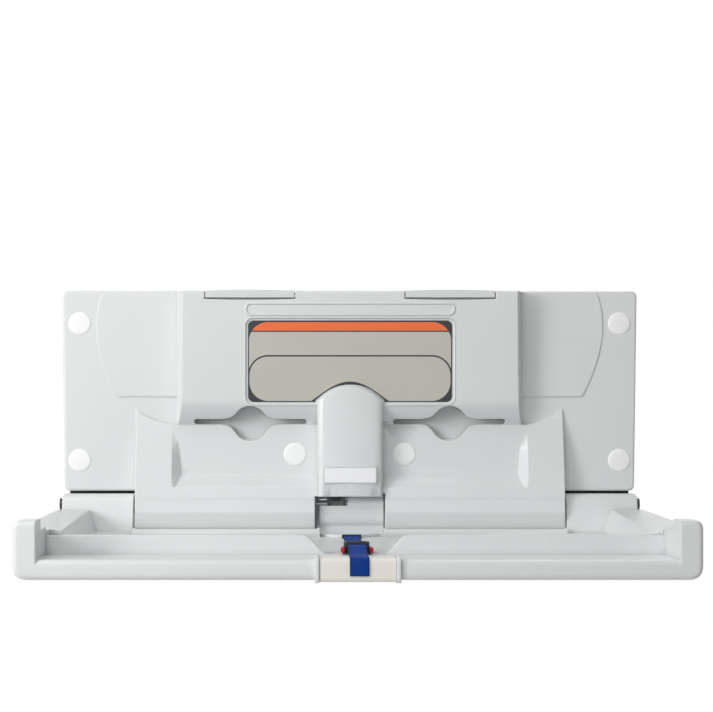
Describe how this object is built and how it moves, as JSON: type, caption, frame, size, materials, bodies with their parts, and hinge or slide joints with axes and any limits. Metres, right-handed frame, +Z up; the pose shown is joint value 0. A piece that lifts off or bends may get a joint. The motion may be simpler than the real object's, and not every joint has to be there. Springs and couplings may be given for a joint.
{
  "type": "baby changing station",
  "caption": "Wall-hung horizontal baby changing station: moulded back panel with liner dispensers, fold-down tray bed on a hinge with a gas spring, safety strap and buckle.",
  "frame": {"origin": "on the wall plane, on the centre line, level with the bed's hinge axis", "axes": "+X right as seen by the user, +Y into the wall, +Z up"},
  "size_m": [0.897, 0.5124, 0.4115],
  "materials": {
    "grey_plastic": "moulded, fine grain",
    "white_plastic": "smooth",
    "cream_plastic": "moulded, fine grain",
    "label_film": "blank printed film",
    "badge_film": "blank plate",
    "steel": "plated",
    "black_plastic": "moulded",
    "black_paint": "satin paint",
    "red_plastic": "moulded",
    "blue_webbing": "woven nylon webbing",
    "nylon": "moulded"
  },
  "bodies": {
    "panel": {"back_panel": "grey_plastic", "liner_bin_left": "grey_plastic", "liner_bin_right": "grey_plastic", "label_plate": "label_film", "badge_plate": "badge_film", "outer_washer_left": "nylon", "outer_washer_right": "nylon", "inner_washer_right": "nylon", "cap_left_upper": "white_plastic", "cap_left_lower": "white_plastic", "cap_left_inner": "white_plastic", "cap_right_upper": "white_plastic", "cap_right_lower": "white_plastic", "cap_right_inner": "white_plastic", "lid_pin_left": "steel", "lid_pin_right": "steel", "hinge_side_plate": "steel", "spring_bracket": "steel", "spring_pin": "steel"},
    "bed": {"bed_shell": "grey_plastic", "front_grip": "cream_plastic", "grip_screw_left": "steel", "grip_screw_right": "steel", "strap_slot_trim": "black_plastic", "strap_anchor": "steel", "strap_rear": "blue_webbing", "strap_tail": "blue_webbing", "buckle_body": "black_plastic", "buckle_tongue": "black_plastic", "hinge_rod_left": "steel", "hinge_rod_right": "steel", "hinge_end_cap_left": "black_plastic", "hinge_end_cap_right": "black_plastic", "lever_bracket": "steel", "lever_pin": "steel", "lever_screw": "steel"},
    "gas_cylinder_body": {"gas_cylinder": "black_paint"},
    "gas_rod_body": {"gas_rod": "steel", "gas_rod_end": "black_plastic"},
    "lid_left": {"liner_lid_left": "grey_plastic"},
    "lid_right": {"liner_lid_right": "grey_plastic"},
    "tab_left": {"release_tab_left": "red_plastic"},
    "tab_right": {"release_tab_right": "red_plastic"}
  },
  "joints": [
    {"name": "bed_fold", "type": "hinge", "parent": "panel", "child": "bed", "pos_m": [0, -0.032, 0], "axis": [-1, 0, 0], "range_deg": [0, 90]},
    {"name": "gas_swing", "type": "hinge", "parent": "panel", "child": "gas_cylinder_body", "pos_m": [-0.02, -0.02282, 0.138], "axis": [1, 0, 0], "range_deg": [0, 1.6]},
    {"name": "gas_stroke", "type": "slide", "parent": "gas_cylinder_body", "child": "gas_rod_body", "axis": [0, 0, 1], "range_m": [-0.0226, 0]},
    {"name": "lid_left_open", "type": "hinge", "parent": "panel", "child": "lid_left", "pos_m": [-0.1535, -0.013, 0.327], "axis": [-1, 0, 0], "range_deg": [0, 80]},
    {"name": "lid_right_open", "type": "hinge", "parent": "panel", "child": "lid_right", "pos_m": [0.1535, -0.013, 0.327], "axis": [-1, 0, 0], "range_deg": [0, 80]},
    {"name": "release_left", "type": "slide", "parent": "bed", "child": "tab_left", "axis": [1, 0, 0], "range_m": [0, 0.002]},
    {"name": "release_right", "type": "slide", "parent": "bed", "child": "tab_right", "axis": [-1, 0, 0], "range_m": [0, 0.002]}
  ],
  "couplings": [
    {"joint": "gas_swing", "follows": "bed_fold", "ratio": 0.0169},
    {"joint": "gas_stroke", "follows": "bed_fold", "m_per_rad": -0.0142}
  ]
}
